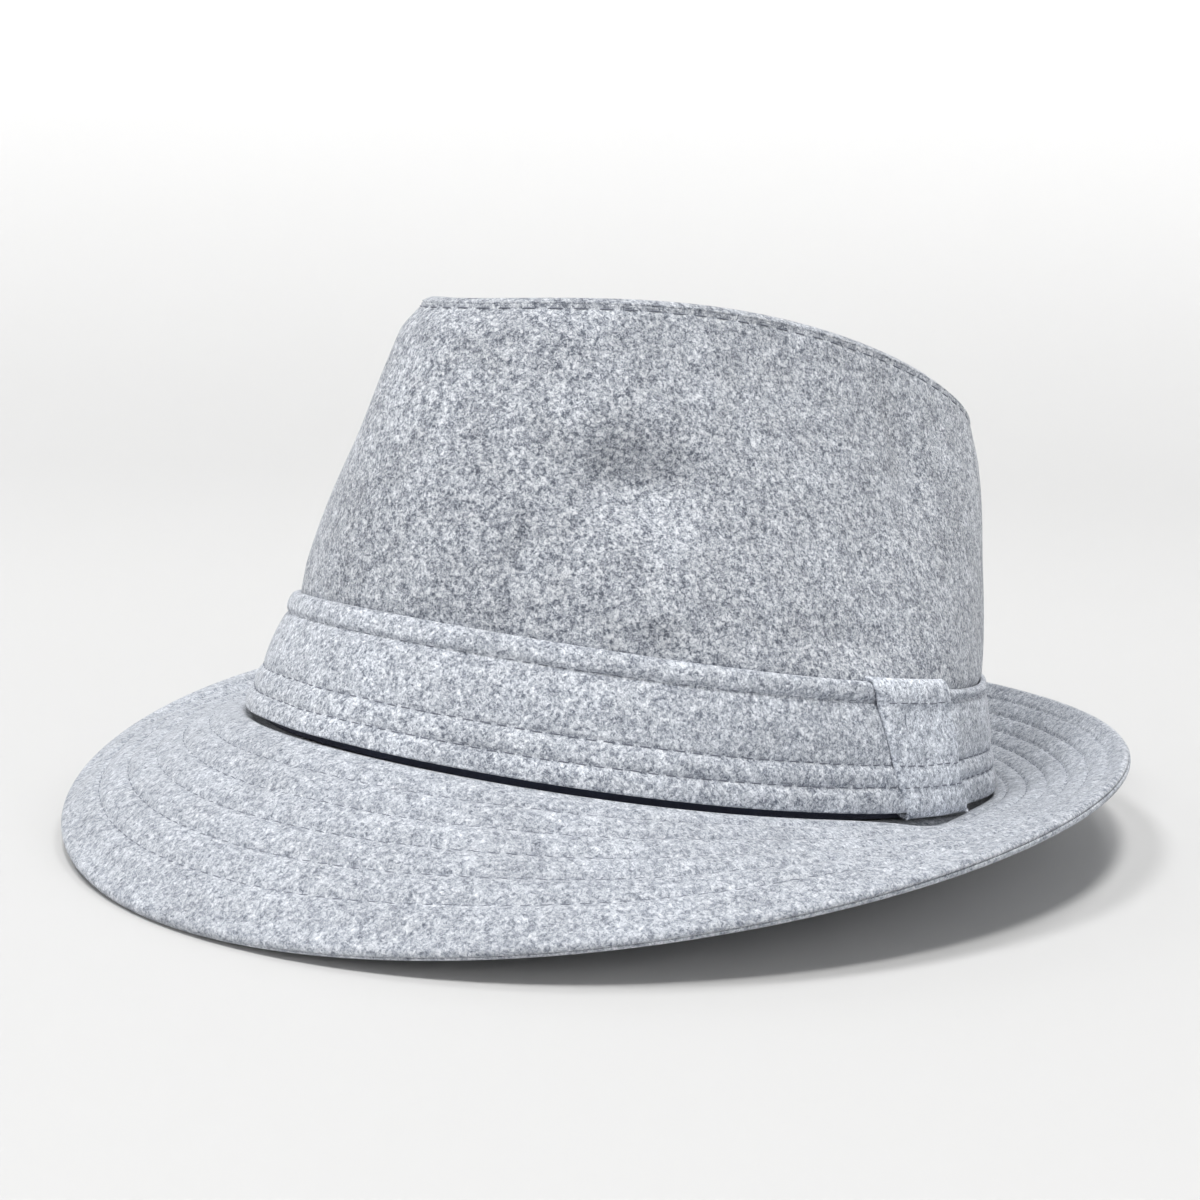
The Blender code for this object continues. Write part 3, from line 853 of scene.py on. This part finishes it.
def build_brim(hat, looks):
    """The brim's two wool layers, the stiffening between them, and the spiral of stitches."""
    cloth(hat, "brim_top_wool", brim_rows(full_turn(840), 1), looks["brim"],
          ("brim_top_cloth",), BRIM_CLOTH_THICKNESS)
    cloth(hat, "brim_under_wool", brim_rows(full_turn(580), -1), looks["brim"],
          ("brim_under_cloth",), BRIM_CLOTH_THICKNESS)
    angle, share = full_turn(240), np.linspace(0.96, -0.12, 24)
    depth = 1.3 * MM - brim_rise(*grid(angle, share))
    cloth(hat, "brim_stiffening", sunk(brim, angle, share, depth), looks["felt"],
          ("brim_interlining",), STIFFENING_THICKNESS)
    turns = np.linspace(0.0, SPIRAL_TURNS, SPIRAL_TURNS * 900)
    angle = turns * TURN + math.pi
    share = brim_spiral_share(turns)
    for name, flip, replaced in (("brim_top_stitches", 1, ("brim_stitching",)),
                                 ("brim_under_stitches", -1, ())):
        path, normals, _ = brim_face(angle, share, flip)
        stitches(hat, name, path, normals, looks["thread"], SHORT_STITCH, replaced,
                 closed=False, lift=-0.03 * MM)


def band_rows(angle):
    """Closed section of the band: up the outer face, over the hem and down the inner face."""
    top = band_top_share(angle)
    angles, shares = grid(angle, np.linspace(0.0, 1.0, 88))
    shares = shares * top
    face = band(angles, shares) + outward(angles) * band_relief(angles, shares)[..., None]
    rounded = []
    start = band_relief(angle, top)
    end = -BAND_THICKNESS
    for turn in np.radians(np.arange(15, 180, 15)):
        offset = (start + end) / 2 + (start - end) / 2 * math.cos(turn)
        lift = top + math.sin(turn) * TOP_FOLD_RISE / BAND_SLANT
        rounded.append(band(angle, lift) + outward(angle) * offset[:, None])
    angles, shares = grid(angle, np.linspace(1.0, 0.0, 10))
    back = band(angles, shares * top) - outward(angles) * BAND_THICKNESS
    fold = []
    start = band_relief(angle, np.zeros_like(angle))
    for turn in np.radians(np.arange(165, 0, -15)):
        offset = (start + end) / 2 + (start - end) / 2 * math.cos(turn)
        drop = -math.sin(turn) * FOOT_FOLD_DROP / BAND_SLANT
        fold.append(band(angle, drop) + outward(angle) * offset[:, None])
    return np.concatenate([face, np.array(rounded), back, np.array(fold)])


def build_band(hat, looks):
    """The band and its stitch rows, which run on over the tab."""
    cloth(hat, "hatband_cloth", band_rows(full_turn(720)), looks["wool"], ("hatband",),
          looped=True)
    angle = np.linspace(0.0, TURN, 2400)
    for name in BAND_ROWS:
        share = band_row(name, angle) / BAND_SLANT
        points, normals, _ = frame_of(band, angle, share)
        stand = np.maximum(band_relief(angle, share), tab_stand(angle, share))
        stitches(hat, "hatband_" + name + "_stitches", points + outward(angle) * stand[:, None],
                 normals, looks["thread"], SHORT_STITCH, ("hatband_stitch_" + name,))


def tab_centre(share):
    """Angle of the tab's middle line, which leans forward as it climbs."""
    return TAB_ANGLE + TAB_LEAN[0] + TAB_LEAN[1] * share


def tab_half_width(share):
    """Half the width of the tab, which widens a little as it climbs."""
    return TAB_HALF_WIDTH_FOOT + (TAB_HALF_WIDTH_TOP - TAB_HALF_WIDTH_FOOT) * share


def tab_stand(angle, share):
    """How far the tab's outer face stands off the band; inside the band's cloth beside it."""
    across = np.abs(turn_gap(angle, tab_centre(share))) * BAND_FOOT_HALF_LENGTH
    beside = spread(0.88, 1.02, across / tab_half_width(share))
    face = np.interp(share, *zip(*TAB_FACE))
    return (face + 0.05 * MM) * (1.0 - beside) - MM * beside


def tab_point(across, along):
    """Outer face of the tab: across from -1 to 1, along its path from 0 to 1."""
    position = along * (len(TAB_PATH) - 1)
    index = np.arange(len(TAB_PATH))
    share, stand = (np.interp(position, index, column) for column in zip(*TAB_PATH))
    angle = tab_centre(share) + across * tab_half_width(share) / BAND_FOOT_HALF_LENGTH
    edge = np.clip((np.abs(across) - 0.90) / 0.10, 0.0, 1.0)
    stand = stand - np.sign(stand) * TAB_EDGE_SINK * edge ** 2
    stand = stand + TAB_WAVE * ripple(angle, share, 12, 60, 1.0)
    return band(angle, share) + outward(angle) * stand[..., None]


def build_tab(hat, looks):
    """The folded wool keeper over the band's join."""
    across = np.linspace(-1.0, 1.0, 61)
    along = np.linspace(0.0, 1.0, 120)
    acrosses, alongs = np.meshgrid(across, along)
    cloth(hat, "hatband_tab_cloth", tab_point(acrosses, alongs), looks["tab"],
          ("hatband_tab",), TAB_THICKNESS, closed=False)


def build_stage():
    """A plain pale floor that sweeps up all round, far from the hat."""
    profile = [(radius, 0.0) for radius in (MM, 0.3, 0.6, FLOOR_RADIUS)]
    for turn in np.radians(np.arange(5, 91, 5)):
        profile.append((FLOOR_RADIUS + SWEEP_RADIUS * math.sin(turn),
                        SWEEP_RADIUS * (1.0 - math.cos(turn))))
    angle = full_turn(FLOOR_STEPS)
    rows = np.array([ellipse(angle, radius, radius, 0.0, height - FLOOR_DROP)
                     for radius, height in profile])
    faces = quads(len(profile), FLOOR_STEPS, True, False) + [tuple(range(FLOOR_STEPS))]
    mesh = bpy.data.meshes.new("floor")
    mesh.from_pydata(rows.reshape(-1, 3).tolist(), [], faces)
    mesh.materials.append(floor_material())
    mesh.shade_smooth()
    floor = bpy.data.objects.new("floor", mesh)
    bpy.context.scene.collection.objects.link(floor)


def add_light(name, place, target, size, power, colour):
    """A round lamp that faces a target."""
    light = bpy.data.lights.new(name, "AREA")
    light.shape = "DISK"
    light.size = size
    light.energy = power
    light.color = colour
    lamp = bpy.data.objects.new(name, light)
    lamp.location = place
    lamp.rotation_mode = "QUATERNION"
    lamp.rotation_quaternion = (Vector(target) - Vector(place)).to_track_quat("-Z", "Y")
    bpy.context.scene.collection.objects.link(lamp)


def build_lights():
    """A soft key high in front, weaker lights to its left and behind, and a pale sky."""
    middle = (0.0, 0.0, 0.06)
    add_light("key", (0.70, -0.86, 3.86), middle, 0.8, 88.0, (1.0, 0.99, 0.97))
    add_light("side", (-0.85, -1.46, 3.63), middle, 1.0, 62.0, (1.0, 1.0, 1.0))
    add_light("top", (0.0, 1.37, 3.76), middle, 1.2, 38.0, (1.0, 1.0, 1.0))
    world = bpy.data.worlds.new("studio")
    world.use_nodes = True
    backdrop = world.node_tree.nodes["Background"]
    backdrop.inputs["Color"].default_value = (0.93, 0.96, 1.0, 1.0)
    backdrop.inputs["Strength"].default_value = 0.17
    bpy.context.scene.world = world


def build_camera(hat):
    """The view on the hat from its front left, a little above the brim."""
    data = bpy.data.cameras.new("camera")
    data.lens = CAMERA_LENS
    data.sensor_width = 36.0
    camera = bpy.data.objects.new("camera", data)
    bpy.context.scene.collection.objects.link(camera)
    turn, climb = CAMERA_AZIMUTH, CAMERA_ELEVATION
    back = Vector((math.sin(turn) * math.cos(climb), -math.cos(turn) * math.cos(climb),
                   math.sin(climb)))
    right = Vector((math.cos(turn), math.sin(turn), 0.0))
    up = back.cross(right)
    rolled = right * math.cos(CAMERA_ROLL) + up * math.sin(CAMERA_ROLL)
    raised = up * math.cos(CAMERA_ROLL) - right * math.sin(CAMERA_ROLL)
    facing = Matrix((rolled, raised, back)).transposed().to_4x4()
    place = Matrix.Translation(Vector(CAMERA_TARGET) + back * CAMERA_DISTANCE)
    camera.matrix_world = hat @ place @ facing
    bpy.context.scene.camera = camera
    bpy.context.scene.view_settings.view_transform = "Standard"


def hat_matrix(record):
    """Where the hat's own frame lies, from the mount at the centre of its opening."""
    opening = next(m for m in record["mounts"] if m["name"] == "head_opening")
    lean = math.atan2(opening["axis"][1], -opening["axis"][2])
    return Matrix.Translation(Vector(opening["pos_m"])) @ Matrix.Rotation(lean, 4, "X")


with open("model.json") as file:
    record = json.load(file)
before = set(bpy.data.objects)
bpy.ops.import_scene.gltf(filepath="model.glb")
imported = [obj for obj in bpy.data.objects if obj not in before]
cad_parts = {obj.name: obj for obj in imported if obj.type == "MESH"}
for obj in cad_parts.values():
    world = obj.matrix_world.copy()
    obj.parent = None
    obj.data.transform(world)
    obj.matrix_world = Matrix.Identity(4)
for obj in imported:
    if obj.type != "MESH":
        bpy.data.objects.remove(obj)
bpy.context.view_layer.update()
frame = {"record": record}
hat = hat_matrix(frame["record"])
# The flannel's copies differ in tone as painted light and shade: the band's and the tab's are
# lighter and the crown's darker than the brim's
looks = {
    "wool": wool_material("band_flannel_painted_light", 1.10, 0.93),
    "brim": wool_material("brim_flannel", 1.0, 0.74),
    "tab": wool_material("tab_flannel_painted_light", 1.32, 0.88),
    "crown": wool_material("crown_flannel_painted_shade", 0.92, 1.12, hat),
    "thread": thread_material(),
    "twill": twill_material(),
    "lining": lining_material(),
    "felt": felt_material(),
}
build_crown(hat, looks)
build_inner_crown(hat, looks)
build_sweatband(hat, looks)
build_brim(hat, looks)
build_band(hat, looks)
build_tab(hat, looks)
build_stage()
build_lights()
build_camera(hat)
